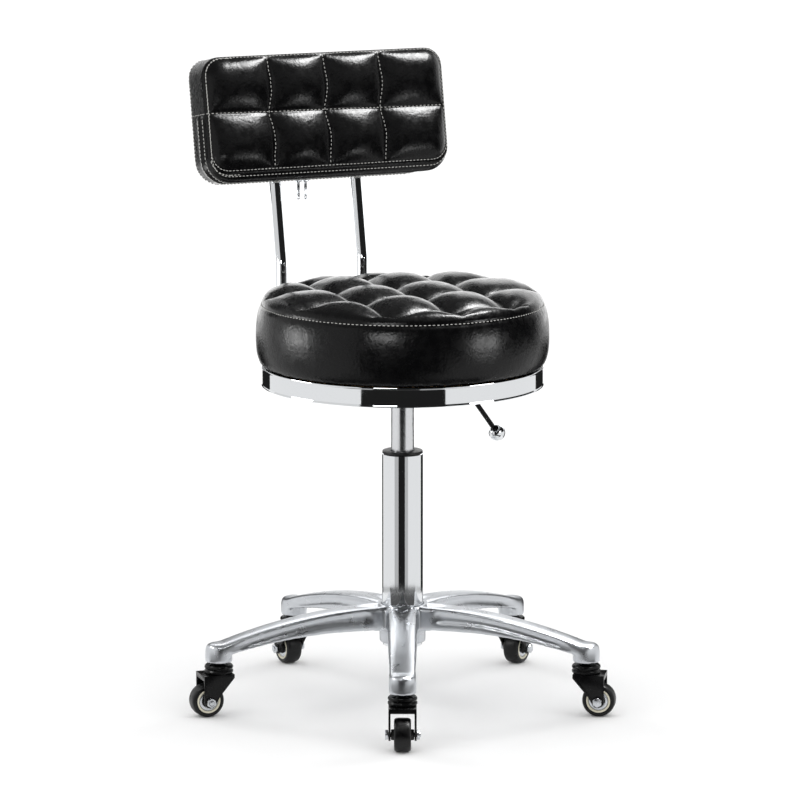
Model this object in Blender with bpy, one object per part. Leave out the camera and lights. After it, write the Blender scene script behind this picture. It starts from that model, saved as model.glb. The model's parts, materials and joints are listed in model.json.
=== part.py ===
"""Rolling stylist stool: a five-leg cast base on swivel casters, a gas lift column,
a round tufted seat in a polished hoop, and a padded backrest on two bent tubes.

Metres, +Z up. The sitter faces -Y, so the backrest is at +Y and the height lever at +X.
The column axis stands at (COLUMN_X, COLUMN_Y), which centres the stool's box on the origin.
"""
import math

import bmesh
import bpy
from mathutils import Matrix, Vector

# ---------------------------------------------------------------- driving dimensions

COLUMN_X = 0.0153
COLUMN_Y = -0.0243
GAP = 0.0003                     # between two neighbouring pieces
WELD = 0.00001                   # vertices closer than this are one vertex

LEG_COUNT = 5
LEG_ANGLE = math.radians(-115)   # heading of the first leg, seen from above
STEM_RADIUS = 0.2325             # circle on which the caster stems stand
SOCKET_BOTTOM_Z = 0.0648
SOCKET_TOP_Z = 0.0890
SOCKET_R = 0.0165
BOSS_R = 0.0282
HUB_R = 0.0326                   # wide enough to hold the corners where neighbouring legs meet
HUB_BOTTOM_Z = 0.0735
HUB_TOP_Z = 0.1245
LEG_WALL = 0.0036

CASTER_TWISTS = (0, 3, -7, 7, 8)  # degrees that each caster is turned from straight out
WHEEL_R = 0.020
WHEEL_HALF_W = 0.010
TRAIL = 0.016                    # stem axis to axle
FORK_HALF_W = 0.0165
FORK_SHEET = 0.0025
FORK_TOP_Z = 0.0525
AXLE_R = 0.0029

TUBE_R = 0.025
TUBE_TOP_Z = 0.308
TUBE_BOTTOM_Z = 0.0715
TUBE_WALL = 0.0018
CYLINDER_R = 0.014
CYLINDER_Z = (0.165, 0.398)
ROD_R = 0.005
PISTON_Z = (0.225, 0.237)

BOARD_R = 0.160
BOARD_Z = (0.4176, 0.4296)
RING_R = 0.1708
RING_Z = (0.3934, 0.4170)
RING_SHEET = 0.0016
PLATE_HALF = 0.055
PLATE_Z = (0.4146, 0.4173)
PLATE_BOLT_XY = 0.042
CUSHION_R = 0.1775
SEAT_STEPS = 40                  # facets round the board, the hoop and the cushion

LEVER_Z = 0.4073
LEVER_PIVOT_X = 0.024
LEVER_BALL = Vector((0.127, 0, 0.323))
LEVER_ROD_R = 0.003

POST_X = 0.0551
POST_Y = 0.2383
POST_R = 0.008
POST_FOOT_Z = 0.383
POST_BEND_Z = 0.512
BACK_LEAN = math.radians(10.5)
BACK_FRONT = Vector((0, 0.222, 0.701))  # middle of the backrest's front face
BACK_HALF_W = 0.162
BACK_DEPTH = 0.062
BACK_TOP = 0.0725
BACK_BOTTOM = -0.0810
POST_DEPTH = 0.0504              # post axis behind the backrest's front face
POST_TOP = 0.040                 # height of the posts' upper ends, up the lean
BACK_BOARD_DEPTH = (0.0301, 0.0421)
BRACKET_Y = (0.066, 0.116)
BRACKET_HALF_W = 0.074
BRACKET_BOLT_X = 0.030
PULL_X = (-0.0318, -0.0222)
PULL_DROP = 0.0076               # from the backrest's lower edge down to the pulls' hinges

# ---------------------------------------------------------------- scene and materials


def clear_scene():
    for old in list(bpy.data.objects):
        bpy.data.objects.remove(old, do_unlink=True)


def material(name, colour, roughness, metallic=0.0):
    made = bpy.data.materials.new(name)
    made.use_nodes = True
    shader = made.node_tree.nodes["Principled BSDF"]
    shader.inputs["Base Color"].default_value = (*colour, 1)
    shader.inputs["Roughness"].default_value = roughness
    shader.inputs["Metallic"].default_value = metallic
    return made


FINISHES = {
    "polished_aluminium": ((0.72, 0.73, 0.75), 0.25, 1.0),
    "chrome": ((0.80, 0.81, 0.82), 0.08, 1.0),
    "zinc_steel": ((0.55, 0.56, 0.58), 0.30, 1.0),
    "black_steel": ((0.02, 0.02, 0.02), 0.35, 0.2),
    "black_nylon": ((0.025, 0.025, 0.025), 0.45, 0.0),
    "tyre": ((0.02, 0.02, 0.022), 0.50, 0.0),
    "black_leather": ((0.012, 0.012, 0.013), 0.30, 0.0),
    "plywood": ((0.45, 0.30, 0.16), 0.70, 0.0),
}


def empty(name, place, parent=None, turn_z=0.0):
    made = bpy.data.objects.new(name, None)
    made.location = place
    made.rotation_euler = (0, 0, turn_z)
    made.parent = parent
    bpy.context.collection.objects.link(made)
    return made


def mesh_object(name, bm, finish, parent, place=(0, 0, 0)):
    """Turn a bmesh, drawn about its own origin, into a named sub-part."""
    bmesh.ops.remove_doubles(bm, verts=bm.verts, dist=1e-6)
    bmesh.ops.recalc_face_normals(bm, faces=bm.faces)
    mesh = bpy.data.meshes.new(name)
    bm.to_mesh(mesh)
    bm.free()
    mesh.shade_smooth()
    mesh.set_sharp_from_angle(angle=math.radians(35))
    mesh.materials.append(material(name, *FINISHES[finish]))
    made = bpy.data.objects.new(name, mesh)
    made.location = place
    made.parent = parent
    bpy.context.collection.objects.link(made)
    return made


# ---------------------------------------------------------------- shapes


def lathe(profile, steps, closed=True, axis="Z", turn=0.0):
    """Turn (radius, height) points about Z. A closed profile stays clear of the axis."""
    bm = bmesh.new()
    points = [bm.verts.new((r, 0, z)) for r, z in profile]
    edges = [bm.edges.new(pair) for pair in zip(points, points[1:])]
    if closed:
        edges.append(bm.edges.new((points[-1], points[0])))
    bmesh.ops.spin(
        bm, geom=points + edges, cent=(0, 0, 0), axis=(0, 0, 1),
        angle=math.tau, steps=steps, use_merge=True, use_duplicate=False,
    )
    bmesh.ops.remove_doubles(bm, verts=bm.verts, dist=1e-6)
    turns = Matrix.Rotation(turn, 4, "Z")
    if axis == "Y":
        turns = Matrix.Rotation(math.radians(-90), 4, "X") @ turns
    bmesh.ops.transform(bm, matrix=turns, verts=bm.verts)
    return bm


def box(low, high):
    bm = bmesh.new()
    size = Vector(high) - Vector(low)
    middle = (Vector(high) + Vector(low)) / 2
    bmesh.ops.create_cube(bm, size=1, matrix=Matrix.Translation(middle) @ Matrix.Diagonal((*size, 1)))
    return bm


def rod(radius, start, end, steps=16):
    """A straight round bar between two points."""
    bm = bmesh.new()
    along = Vector(end) - Vector(start)
    place = Matrix.Translation((Vector(start) + Vector(end)) / 2)
    turn = along.to_track_quat("Z", "Y").to_matrix().to_4x4()
    bmesh.ops.create_cone(
        bm, cap_ends=True, segments=steps, radius1=radius, radius2=radius,
        depth=along.length, matrix=place @ turn,
    )
    return bm


def prism(outline, low, high):
    """Extrude an outline of (x, z) points along Y, from low to high."""
    bm = bmesh.new()
    face = bm.faces.new([bm.verts.new((x, low, z)) for x, z in outline])
    grown = bmesh.ops.extrude_face_region(bm, geom=[face])
    moved = [v for v in grown["geom"] if isinstance(v, bmesh.types.BMVert)]
    bmesh.ops.translate(bm, vec=(0, high - low, 0), verts=moved)
    bmesh.ops.recalc_face_normals(bm, faces=bm.faces)
    return bm


def arc(centre, radius, start, end, count):
    """Points on an arc in the (x, z) plane, angles in degrees."""
    angles = [math.radians(start + (end - start) * i / (count - 1)) for i in range(count)]
    return [(centre[0] + radius * math.cos(a), centre[1] + radius * math.sin(a)) for a in angles]


def rounded_path(corners, bend, steps):
    """Replace each inner corner of a polyline by an arc of about the bend radius."""
    path = [corners[0]]
    for before, corner, after in zip(corners, corners[1:], corners[2:]):
        inward = (before - corner).normalized()
        onward = (after - corner).normalized()
        half = inward.angle(onward) / 2
        reach = bend / math.tan(half)
        centre = corner + (inward + onward).normalized() * (bend / math.sin(half))
        start = corner + inward * reach - centre
        turn = math.pi - 2 * half
        normal = start.cross(corner + onward * reach - centre).normalized()
        for i in range(steps + 1):
            path.append(centre + Matrix.Rotation(turn * i / steps, 3, normal) @ start)
    path.append(corners[-1])
    return path


def tube(path, radius, resolution=3):
    """A solid round bar along a path, swept by a bevelled curve."""
    curve = bpy.data.curves.new("sweep", "CURVE")
    curve.dimensions = "3D"
    curve.bevel_depth = radius
    curve.bevel_resolution = resolution
    curve.use_fill_caps = True
    spline = curve.splines.new("POLY")
    spline.points.add(len(path) - 1)
    for point, place in zip(spline.points, path):
        point.co = (*place, 1)
    swept = bpy.data.objects.new("sweep", curve)
    bm = bmesh.new()
    bm.from_mesh(swept.to_mesh())
    bpy.data.objects.remove(swept)
    bpy.data.curves.remove(curve)
    bmesh.ops.remove_doubles(bm, verts=bm.verts, dist=1e-6)
    bmesh.ops.recalc_face_normals(bm, faces=bm.faces)
    return bm


def combine(target, bm, operation):
    """Join or cut one sub-part with another shape, and apply it."""
    bmesh.ops.recalc_face_normals(bm, faces=bm.faces)
    mesh = bpy.data.meshes.new("tool")
    bm.to_mesh(mesh)
    bm.free()
    tool = bpy.data.objects.new("tool", mesh)
    tool.parent = target.parent
    tool.location = target.location
    tool.rotation_euler = target.rotation_euler
    tool.hide_render = True
    tool.display_type = "WIRE"
    bpy.context.collection.objects.link(tool)
    boolean = target.modifiers.new("tool", "BOOLEAN")
    boolean.operation = operation
    boolean.solver = "EXACT"
    boolean.object = tool
    bpy.context.view_layer.update()
    finished = bpy.data.meshes.new_from_object(target.evaluated_get(bpy.context.evaluated_depsgraph_get()))
    target.modifiers.clear()
    finished.name = target.name
    target.data = finished
    weld(finished)
    bpy.data.objects.remove(tool)


def weld(mesh):
    """Close the hair-thin slivers that are left where two cut edges cross."""
    bm = bmesh.new()
    bm.from_mesh(mesh)
    bmesh.ops.remove_doubles(bm, verts=bm.verts, dist=WELD)
    bmesh.ops.dissolve_degenerate(bm, edges=bm.edges, dist=WELD)
    bm.to_mesh(mesh)
    bm.free()


def triangulate(mesh):
    bm = bmesh.new()
    bm.from_mesh(mesh)
    bmesh.ops.triangulate(bm, faces=bm.faces)
    bm.to_mesh(mesh)
    bm.free()


def cut(target, bm):
    combine(target, bm, "DIFFERENCE")


def join(target, bm):
    combine(target, bm, "UNION")


# ---------------------------------------------------------------- five-leg base


def leg_top(r):
    run = r - TUBE_R
    return HUB_TOP_Z - 0.0022 - 0.8 * run * run


def leg_bottom(r):
    return 0.094 - 0.85 * (r - 0.075) ** 2


def leg_half_width(r):
    return 0.0187 - 0.0136 * (r - TUBE_R)


def leg_loft(radii, section):
    """Bridge one section loop per radius into a closed bar that runs out along +X."""
    bm = bmesh.new()
    loops = []
    for r in radii:
        ring = [bm.verts.new((r, y, z)) for y, z in section(r)]
        loops.append(ring)
    for inner, outer in zip(loops, loops[1:]):
        for i in range(len(inner)):
            j = (i + 1) % len(inner)
            bm.faces.new((inner[i], inner[j], outer[j], outer[i]))
    bm.faces.new(loops[0])
    bm.faces.new(list(reversed(loops[-1])))
    bmesh.ops.recalc_face_normals(bm, faces=bm.faces)
    bmesh.ops.triangulate(bm, faces=bm.faces)
    return bm


def leg_section(r):
    """An inverted U: a crowned top over two walls, cored out from below."""
    half = leg_half_width(r)
    top = leg_top(r)
    bottom = leg_bottom(r)
    core = half - LEG_WALL
    side = [(0.6 * half, top - 0.0016), (half, top - 0.008), (half, bottom), (core, bottom),
            (0.86 * core, top - 0.008 - LEG_WALL)]
    return [(0, top), *side, *[(-y, z) for y, z in reversed(side)]]


def turned(bm, angle):
    bmesh.ops.rotate(bm, cent=(0, 0, 0), matrix=Matrix.Rotation(angle, 3, "Z"), verts=bm.verts)
    return bm


def moved(bm, place):
    bmesh.ops.translate(bm, vec=place, verts=bm.verts)
    return bm


def leg_heading(index):
    return LEG_ANGLE - math.tau * index / LEG_COUNT


def make_star_base(root):
    hub = lathe([(0, HUB_BOTTOM_Z), (BOSS_R, HUB_BOTTOM_Z), (BOSS_R, 0.0895), (HUB_R, 0.0915), (HUB_R, 0.1155),
                 (0.0275, HUB_TOP_Z), (0, HUB_TOP_Z)], 24, closed=False)
    base = mesh_object("star_base", hub, "polished_aluminium", root)
    leg_radii = [0.018, 0.050, 0.090, 0.130, 0.168, 0.204, 0.2335]
    for index in range(LEG_COUNT):
        join(base, turned(leg_loft(leg_radii, leg_section), leg_heading(index)))
    for index in range(LEG_COUNT):
        socket = lathe(
            [(0, SOCKET_BOTTOM_Z), (SOCKET_R, SOCKET_BOTTOM_Z), (SOCKET_R, 0.0828),
             (0.0125, 0.0878), (0, SOCKET_TOP_Z)], 16, closed=False)
        join(base, turned(moved(socket, (STEM_RADIUS, 0, 0)), leg_heading(index)))
    for index in range(LEG_COUNT):
        bore = rod(0.0053, (STEM_RADIUS, 0, 0.05), (STEM_RADIUS, 0, 0.0835), 12)
        cut(base, turned(bore, leg_heading(index)))
    taper = lathe([(0, 0.06), (0.0236 + GAP, 0.06), (0.0240 + GAP, TUBE_BOTTOM_Z), (TUBE_R + GAP, HUB_TOP_Z - 0.0005),
                   (TUBE_R + GAP, 0.14), (0, 0.14)], 32, closed=False)
    cut(base, taper)
    triangulate(base.data)


# ---------------------------------------------------------------- casters


def make_caster(index, root):
    number = index + 1
    heading = leg_heading(index)
    foot = Vector((math.cos(heading), math.sin(heading), 0)) * STEM_RADIUS
    caster = empty(f"caster_{number}_axis", foot, root, heading + math.radians(CASTER_TWISTS[index]))
    axle = empty(f"caster_{number}_axle", (TRAIL, 0, WHEEL_R), caster)

    stem = lathe(
        [(0, 0.0462), (0.0065, 0.0462), (0.0065, 0.0494), (0.0040, 0.0497), (0.0040, 0.0530),
         (0.0174, 0.0530), (0.0174, 0.0560), (0.0160, 0.0575), (0.0174, 0.0590), (0.0174, 0.0612),
         (0.0160, 0.0625), (0.0050, 0.0640), (0.0050, 0.0830), (0, 0.0830)], 16, closed=False)
    mesh_object(f"caster_stem_{number}", stem, "black_steel", caster)

    back = 0.0235
    outline = [(-0.0145, FORK_TOP_Z), (-0.0145, 0.0480), (0.0035, 0.0270)]
    outline += arc((TRAIL, WHEEL_R), 0.0074, 190, 355, 7)
    outline += [(back, 0.0280), (back, FORK_TOP_Z)]
    fork = mesh_object(f"fork_{number}", prism(outline, -FORK_HALF_W, FORK_HALF_W), "black_steel", caster)
    inside = FORK_HALF_W - FORK_SHEET
    roof = FORK_TOP_Z - FORK_SHEET
    hollow = [(-0.03, 0), (0.03, 0), (0.03, 0.0465), (back - FORK_SHEET, 0.0465),
              (back - FORK_SHEET, roof), (-0.03, roof)]
    cut(fork, prism(hollow, -inside, inside))
    cut(fork, rod(AXLE_R + GAP, (TRAIL, -0.03, WHEEL_R), (TRAIL, 0.03, WHEEL_R), 12))
    cut(fork, rod(0.0044, (0, 0, 0.045), (0, 0, 0.060), 12))

    half_step = math.radians(7.5)
    rim = 1 / math.cos(half_step)  # vertices stand proud so that the flats lie on the tread radius
    edge = WHEEL_HALF_W
    tread = [(0.0147, -edge), (0.0178, -edge), (WHEEL_R * rim, -0.0070),
             (WHEEL_R * rim, 0.0070), (0.0178, edge), (0.0147, edge)]
    mesh_object(f"tyre_{number}", lathe(tread, 24, axis="Y", turn=half_step), "tyre", axle)
    hub = [(0.0032, -0.0136), (0.0060, -0.0136), (0.0066, -0.0085), (0.0143, -0.0085),
           (0.0143, 0.0085), (0.0066, 0.0085), (0.0060, 0.0136), (0.0032, 0.0136)]
    mesh_object(f"wheel_core_{number}", lathe(hub, 16, axis="Y"), "black_nylon", axle)

    head = FORK_HALF_W + GAP
    bolt = rod(0.0060, (0, -head - 0.0036, 0), (0, -head, 0), 6)
    axle_bolt = mesh_object(f"axle_bolt_{number}", bolt, "zinc_steel", axle)
    join(axle_bolt, rod(AXLE_R, (0, -head - 0.001, 0), (0, 0.0215, 0), 12))
    nut = rod(0.0060, (0, head, 0), (0, head + 0.0036, 0), 6)
    axle_nut = mesh_object(f"axle_nut_{number}", nut, "zinc_steel", axle)
    cut(axle_nut, rod(AXLE_R + GAP, (0, 0, 0), (0, 0.03, 0), 12))


# ---------------------------------------------------------------- column and gas lift


def make_column(root):
    bore = TUBE_R - TUBE_WALL
    wall = [(TUBE_R, TUBE_TOP_Z), (TUBE_R, HUB_TOP_Z), (0.0240, TUBE_BOTTOM_Z), (0.0044, TUBE_BOTTOM_Z),
            (0.0044, 0.0750), (0.0215, 0.0750), (bore, HUB_TOP_Z), (bore, TUBE_TOP_Z)]
    mesh_object("column_tube", lathe(wall, 32), "chrome", root)
    slide = CYLINDER_R + GAP + 0.0001
    sleeve = [(slide, 0.238), (slide, 0.3115), (0.0225, 0.3115), (0.0244, 0.3105), (0.0244, TUBE_TOP_Z + GAP),
              (0.0228, TUBE_TOP_Z + GAP), (0.0228, 0.238)]
    mesh_object("guide_sleeve", lathe(sleeve, 28), "black_nylon", root)
    race = [(0.0047, 0.0753), (0.0120, 0.0753), (0.0120, 0.0790), (0.0047, 0.0790)]
    mesh_object("thrust_bearing", lathe(race, 20), "zinc_steel", root)


def make_piston(swivel):
    """The rod that stays at one height, hung in the column's foot by its clip."""
    spindle = [(0, 0.0640), (0.0035, 0.0640), (0.0040, 0.0645), (0.0040, 0.0668), (0.0031, 0.0668),
               (0.0031, 0.0692), (0.0040, 0.0692), (0.0040, 0.0816), (ROD_R, 0.0816), (ROD_R, PISTON_Z[0]),
               (0.0122, PISTON_Z[0]), (0.0122, PISTON_Z[1]), (0, PISTON_Z[1])]
    mesh_object("piston_rod", lathe(spindle, 16, closed=False), "chrome", swivel)
    washer = [(0.0044, 0.0793), (0.0120, 0.0793), (0.0120, 0.0813), (0.0044, 0.0813)]
    mesh_object("thrust_washer", lathe(washer, 20), "zinc_steel", swivel)
    ring = [(0.0034, 0.0672), (0.0078, 0.0672), (0.0078, 0.0688), (0.0034, 0.0688)]
    clip = mesh_object("retaining_clip", lathe(ring, 16), "black_steel", swivel)
    cut(clip, box((0, -0.0026, 0.06), (0.02, 0.0026, 0.08)))


def make_lift_cylinder(seat):
    low, high = CYLINDER_Z
    shell = [(CYLINDER_R, low + 0.001), (CYLINDER_R, high - 0.018), (0.0132, high), (0.0026, high),
             (0.0026, high - 0.010), (0.0125, high - 0.010), (0.0125, low + 0.008), (0.0054, low + 0.008),
             (0.0054, low), (0.0130, low)]
    mesh_object("lift_cylinder", lathe(shell, 28), "chrome", seat)
    valve = empty("valve_axis", (0, 0, high), seat)
    pin = [(0, -0.0120), (0.0022, -0.0120), (0.0022, 0.0052), (0.0016, 0.0059), (0, 0.0059)]
    mesh_object("valve_pin", lathe(pin, 12, closed=False), "zinc_steel", valve)


# ---------------------------------------------------------------- seat mechanism


def bolt_places():
    return [(x, y) for x in (-PLATE_BOLT_XY, PLATE_BOLT_XY) for y in (-PLATE_BOLT_XY, PLATE_BOLT_XY)]


def bracket_places():
    middle = sum(BRACKET_Y) / 2
    return [(-BRACKET_BOLT_X, middle), (BRACKET_BOLT_X, middle)]


def make_mechanism(seat):
    """A pressed pan: a square flange bolted to the board round a box that holds the lever."""
    x_box, y_box, floor = 0.036, 0.026, 0.3955
    wall = 0.0025
    low, high = PLATE_Z
    plate = mesh_object("mechanism_plate", box((-PLATE_HALF, -PLATE_HALF, low), (PLATE_HALF, PLATE_HALF, high)),
                        "black_steel", seat)
    join(plate, box((-x_box, -y_box, floor), (x_box, y_box, high - 0.001)))
    cut(plate, box((-x_box + wall, -y_box + wall, floor + wall), (x_box - wall, y_box - wall, 0.43)))
    cut(plate, rod(CYLINDER_R + 0.0006, (0, 0, 0.38), (0, 0, 0.41), 24))
    cut(plate, box((x_box - 0.01, -0.0050, 0.4005), (x_box + 0.01, 0.0050, 0.4135)))
    cut(plate, rod(0.0019, (LEVER_PIVOT_X, -0.04, LEVER_Z), (LEVER_PIVOT_X, 0.04, LEVER_Z), 12))
    for x, y in bolt_places():
        cut(plate, rod(0.0034, (x, y, 0.40), (x, y, 0.43), 12))

    foot, top = 0.3800, floor - GAP
    bore = CYLINDER_R + GAP
    cone = [(bore, foot), (bore, top), (0.0205, top), (0.0205, top - 0.003), (0.0178, top - 0.004), (0.0170, foot)]
    mesh_object("lift_socket", lathe(cone, 28), "black_steel", seat)

    pin = rod(0.0016, (LEVER_PIVOT_X, -0.0285, LEVER_Z), (LEVER_PIVOT_X, 0.0285, LEVER_Z), 12)
    mesh_object("lever_pin", pin, "zinc_steel", seat)


def make_lever(seat):
    """A bent bar on a cross pin: its inner end presses the valve, its outer end holds the ball."""
    pivot = Vector((LEVER_PIVOT_X, 0, LEVER_Z))
    hinge = empty("lever_axis", pivot, seat)
    inner = Vector((-0.004, 0, LEVER_Z)) - pivot
    ball = LEVER_BALL - pivot
    slope = math.radians(54)
    elbow_x = ball.x + ball.z / math.tan(slope)
    path = rounded_path([inner, Vector((elbow_x, 0, 0)), ball], 0.012, 6)
    path[-1] = ball + (path[-2] - ball).normalized() * 0.004
    lever = mesh_object("lever_rod", tube(path, LEVER_ROD_R), "black_steel", hinge)
    join(lever, rod(0.0052, (0, -0.0040, 0), (0, 0.0040, 0), 16))
    cut(lever, rod(0.0016 + GAP, (0, -0.01, 0), (0, 0.01, 0), 12))
    grip = bmesh.new()
    bmesh.ops.create_uvsphere(grip, u_segments=14, v_segments=8, radius=0.0105, matrix=Matrix.Translation(ball))
    knob = mesh_object("lever_ball", grip, "chrome", hinge)
    outward = (path[-2] - ball).normalized()
    cut(knob, rod(LEVER_ROD_R + GAP, ball + outward * 0.0036, ball + outward * 0.03, 12))


def make_bolts(seat):
    for number, (x, y) in enumerate(bolt_places(), 1):
        make_bolt(f"plate_bolt_{number}", x, y, PLATE_Z[0], seat)
    for number, (x, y) in enumerate(bracket_places(), 1):
        make_bolt(f"bracket_bolt_{number}", x, y, PLATE_Z[0], seat)


def make_bolt(name, x, y, under, seat):
    """A hex bolt driven up through a plate into the seat board."""
    head = rod(0.0058, (0, 0, -GAP - 0.0040), (0, 0, -GAP), 6)
    bolt = mesh_object(name, head, "zinc_steel", seat, (x, y, under))
    join(bolt, rod(0.0030, (0, 0, -GAP - 0.001), (0, 0, 0.0120), 12))


# ---------------------------------------------------------------- seat


def make_seat(seat):
    board = lathe([(0, BOARD_Z[0]), (BOARD_R, BOARD_Z[0]), (BOARD_R, BOARD_Z[1]), (0, BOARD_Z[1])],
                  SEAT_STEPS, closed=False)
    seat_board = mesh_object("seat_board", board, "plywood", seat)
    for x, y in bolt_places() + bracket_places():
        cut(seat_board, rod(0.0034, (x, y, 0.41), (x, y, 0.44), 12))

    low, high = RING_Z
    inner = RING_R - RING_SHEET
    hoop = [(RING_R, high), (RING_R, low), (inner, low), (inner, high - RING_SHEET),
            (0.1500, high - RING_SHEET), (0.1500, high)]
    mesh_object("seat_ring", lathe(hoop, SEAT_STEPS), "chrome", seat)

    pocket = BOARD_R + 0.0005
    roof = BOARD_Z[1] + 0.0004
    cover = [(0, roof), (pocket, roof), (pocket, 0.4192), (0.1712, 0.4192), (CUSHION_R, 0.4340),
             (CUSHION_R, 0.4620), (0.1730, 0.4920), (0.1610, 0.5070), (0.1250, 0.5130), (0, 0.5145)]
    mesh_object("seat_cushion", lathe(cover, SEAT_STEPS, closed=False), "black_leather", seat)


# ---------------------------------------------------------------- backrest


def back_point(x, depth, height):
    """A place in the backrest: depth goes back from its front face, height up its lean."""
    across = Vector((x, 0, 0))
    backward = Vector((0, math.cos(BACK_LEAN), -math.sin(BACK_LEAN)))
    upward = Vector((0, math.sin(BACK_LEAN), math.cos(BACK_LEAN)))
    return BACK_FRONT + across + backward * depth + upward * height


def lean_back(bm):
    """Stand a shape drawn upright (x, depth, height) in the backrest's place."""
    turn = Matrix.Rotation(-BACK_LEAN, 4, "X")
    bmesh.ops.transform(bm, matrix=Matrix.Translation(BACK_FRONT) @ turn, verts=bm.verts)
    return bm


def make_posts(seat):
    top = back_point(0, POST_DEPTH, POST_TOP)
    for side, name in ((-1, "back_post_right"), (1, "back_post_left")):
        x = side * POST_X
        corners = [
            Vector((x, BRACKET_Y[0] - 0.010, POST_FOOT_Z)),
            Vector((x, POST_Y, POST_FOOT_Z)),
            Vector((x, POST_Y, POST_BEND_Z)),
            Vector((x, top.y, top.z)),
        ]
        mesh_object(name, tube(rounded_path(corners, 0.045, 6), POST_R), "chrome", seat)


def make_bracket(seat):
    """A folded channel under the seat board whose two webs carry the post tubes."""
    sheet = 0.0027
    high = PLATE_Z[1]
    low = POST_FOOT_Z - 0.013
    y_low, y_high = BRACKET_Y
    bracket = mesh_object("post_bracket", box((-BRACKET_HALF_W, y_low, low), (BRACKET_HALF_W, y_high, high)),
                          "black_steel", seat)
    cut(bracket, box((-0.1, y_low + sheet, low - 0.01), (0.1, y_high - sheet, high - sheet)))
    for x in (-POST_X, POST_X):
        cut(bracket, rod(POST_R + 0.0004, (x, 0.04, POST_FOOT_Z), (x, 0.14, POST_FOOT_Z), 16))
    for x, y in bracket_places():
        cut(bracket, rod(0.0034, (x, y, 0.40), (x, y, 0.43), 12))


def make_back_cushion(seat):
    pad = box((-BACK_HALF_W, 0, BACK_BOTTOM), (BACK_HALF_W, BACK_DEPTH, BACK_TOP))
    upright = [e for e in pad.edges if abs(e.verts[0].co.y - e.verts[1].co.y) > 0.01]
    bmesh.ops.bevel(pad, geom=upright, offset=0.024, segments=4, profile=0.5, affect="EDGES", material=-1)
    rims = [e for e in pad.edges if abs(e.verts[0].co.y - e.verts[1].co.y) < 1e-5]
    bmesh.ops.bevel(pad, geom=rims, offset=0.007, segments=2, profile=0.5, affect="EDGES", material=-1)
    cushion = mesh_object("back_cushion", lean_back(pad), "black_leather", seat)

    near, far = BACK_BOARD_DEPTH
    half, low, high = 0.140, -0.068, 0.056
    slot = box((-half - 0.0005, near - GAP, -0.1), (half + 0.0005, far + GAP, high + 0.0005))
    cut(cushion, lean_back(slot))
    for x in (-POST_X, POST_X):
        cut(cushion, lean_back(rod(POST_R + 0.0005, (x, POST_DEPTH, -0.12), (x, POST_DEPTH, POST_TOP + 0.0015), 16)))
    board = box((-half, near, low), (half, far, high))
    mesh_object("back_board", lean_back(board), "plywood", seat)


def make_zip_pulls(seat):
    """Two small tabs that swing from the zip's sliders, under the backrest."""
    hang = back_point(0, BACK_DEPTH / 2, BACK_BOTTOM)
    for x, name in zip(PULL_X, ("zip_pull_right", "zip_pull_left")):
        hinge = empty(f"{name}_axis", (x, hang.y, hang.z - PULL_DROP), seat)
        tab = mesh_object(name, box((-0.0018, -0.0006, -0.0185), (0.0018, 0.0006, 0.0010)), "zinc_steel", hinge)
        cut(tab, rod(0.0011, (0, -0.01, -0.0160), (0, 0.01, -0.0160), 10))


# ---------------------------------------------------------------- assembly


def main():
    clear_scene()
    root = empty("stool", (COLUMN_X, COLUMN_Y, 0))
    swivel = empty("swivel_axis", (0, 0, 0), root)
    seat = empty("seat_axis", (0, 0, 0), swivel)
    make_star_base(root)
    for index in range(LEG_COUNT):
        make_caster(index, root)
    make_column(root)
    make_piston(swivel)
    make_lift_cylinder(seat)
    make_mechanism(seat)
    make_lever(seat)
    make_bolts(seat)
    make_seat(seat)
    make_posts(seat)
    make_bracket(seat)
    make_back_cushion(seat)
    make_zip_pulls(seat)


main()
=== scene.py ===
"""Looks of the rolling stylist stool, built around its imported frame. Metres, +Z up.

The sitter faces -Y and the height lever points to +X. Each section is one piece or one
group of like pieces, in the order in which the stool is put together, from the floor up.
"""
import json
import math

import bmesh
import bpy
import numpy as np
from mathutils import Matrix, Vector
from mathutils.bvhtree import BVHTree


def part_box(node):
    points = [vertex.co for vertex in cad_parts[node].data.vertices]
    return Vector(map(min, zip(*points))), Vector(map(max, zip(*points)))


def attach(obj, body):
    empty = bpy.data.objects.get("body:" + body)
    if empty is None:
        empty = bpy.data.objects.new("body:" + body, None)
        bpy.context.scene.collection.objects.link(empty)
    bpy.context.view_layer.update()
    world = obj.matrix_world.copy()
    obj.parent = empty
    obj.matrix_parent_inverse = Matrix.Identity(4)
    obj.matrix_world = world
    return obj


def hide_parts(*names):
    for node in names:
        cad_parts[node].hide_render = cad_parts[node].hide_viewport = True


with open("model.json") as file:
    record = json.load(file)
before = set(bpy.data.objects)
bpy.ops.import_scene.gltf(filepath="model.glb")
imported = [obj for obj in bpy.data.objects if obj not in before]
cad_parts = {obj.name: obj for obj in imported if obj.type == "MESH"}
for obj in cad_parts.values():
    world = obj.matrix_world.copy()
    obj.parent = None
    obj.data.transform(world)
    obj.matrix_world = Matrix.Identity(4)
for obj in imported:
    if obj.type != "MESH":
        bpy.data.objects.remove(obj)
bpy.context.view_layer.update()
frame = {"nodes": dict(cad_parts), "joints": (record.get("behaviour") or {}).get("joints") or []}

scene = bpy.context.scene

# ---------------------------------------------------------------- camera
# A long lens stands a little to the sitter's right of straight ahead and looks slightly down.

tube_low, tube_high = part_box("column_tube")
AXIS = Vector(((tube_low.x + tube_high.x) / 2, (tube_low.y + tube_high.y) / 2, 0))
CAMERA_AZIMUTH = math.radians(-25)
CAMERA_DISTANCE = 5.5
CAMERA_HEIGHT = 1.35478
CAMERA_PITCH = math.radians(10.12444)
toward_camera = Vector((math.sin(CAMERA_AZIMUTH), -math.cos(CAMERA_AZIMUTH), 0))
camera_right = Vector((math.cos(CAMERA_AZIMUTH), math.sin(CAMERA_AZIMUTH), 0))

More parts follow.
